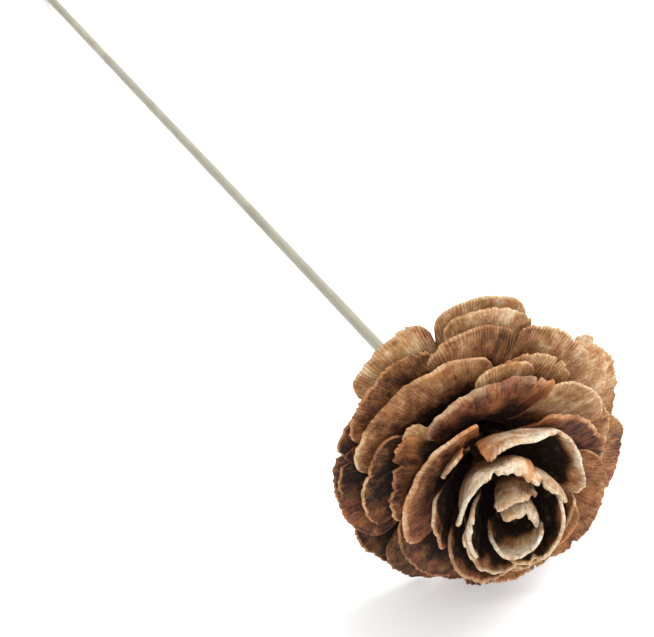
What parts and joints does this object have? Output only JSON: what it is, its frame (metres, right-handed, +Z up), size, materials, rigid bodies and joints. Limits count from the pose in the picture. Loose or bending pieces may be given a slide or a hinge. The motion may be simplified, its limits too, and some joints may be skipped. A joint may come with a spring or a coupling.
{
  "type": "cedar rose cone",
  "caption": "Cedar rose: an opened conifer cone tip with thin fan-shaped woody scales spread like rose petals, fixed on a thin straight wooden stick.",
  "frame": {"origin": "middle of the object's bounding box, on the surface it lies on", "axes": "+Z up, away from the surface; the stick runs back along +Y, sloping down a little to its far end; the rose faces -Y and slightly up; +X is the rose's right side for someone looking at its face"},
  "size_m": [0.0708, 0.352, 0.0669],
  "materials": {
    "outer_scale": "dry woody scale, tan to reddish brown, fine fan-shaped striations, thin pale rim",
    "heart_scale": "weathered pale grey scale with orange-brown patches",
    "core_wood": "rough dark brown cone core",
    "stick_wood": "matt pale grey-green dowel, slightly blotchy"
  },
  "bodies": {
    "root": {"stem": "stick_wood", "rachis": "core_wood", "scale_01": "outer_scale", "scale_02": "outer_scale", "scale_03": "outer_scale", "scale_04": "outer_scale", "scale_05": "outer_scale", "scale_06": "outer_scale", "scale_07": "outer_scale", "scale_08": "outer_scale", "scale_09": "outer_scale", "scale_10": "outer_scale", "scale_11": "outer_scale", "scale_12": "outer_scale", "scale_13": "outer_scale", "scale_14": "outer_scale", "scale_15": "outer_scale", "scale_16": "outer_scale", "scale_17": "outer_scale", "scale_18": "outer_scale", "scale_19": "outer_scale", "scale_20": "outer_scale", "scale_21": "outer_scale", "scale_22": "outer_scale", "scale_23": "outer_scale", "scale_24": "outer_scale", "scale_25": "outer_scale", "scale_26": "outer_scale", "scale_27": "outer_scale", "scale_28": "outer_scale", "scale_29": "outer_scale", "scale_30": "outer_scale", "scale_31": "outer_scale", "scale_32": "outer_scale", "scale_33": "outer_scale", "scale_34": "heart_scale", "scale_35": "heart_scale", "scale_36": "heart_scale", "scale_37": "heart_scale", "scale_38": "heart_scale", "scale_39": "heart_scale", "scale_40": "heart_scale", "scale_41": "heart_scale", "scale_42": "heart_scale", "scale_43": "heart_scale", "scale_44": "heart_scale", "scale_45": "heart_scale", "scale_46": "heart_scale", "scale_47": "heart_scale"}
  },
  "joints": []
}
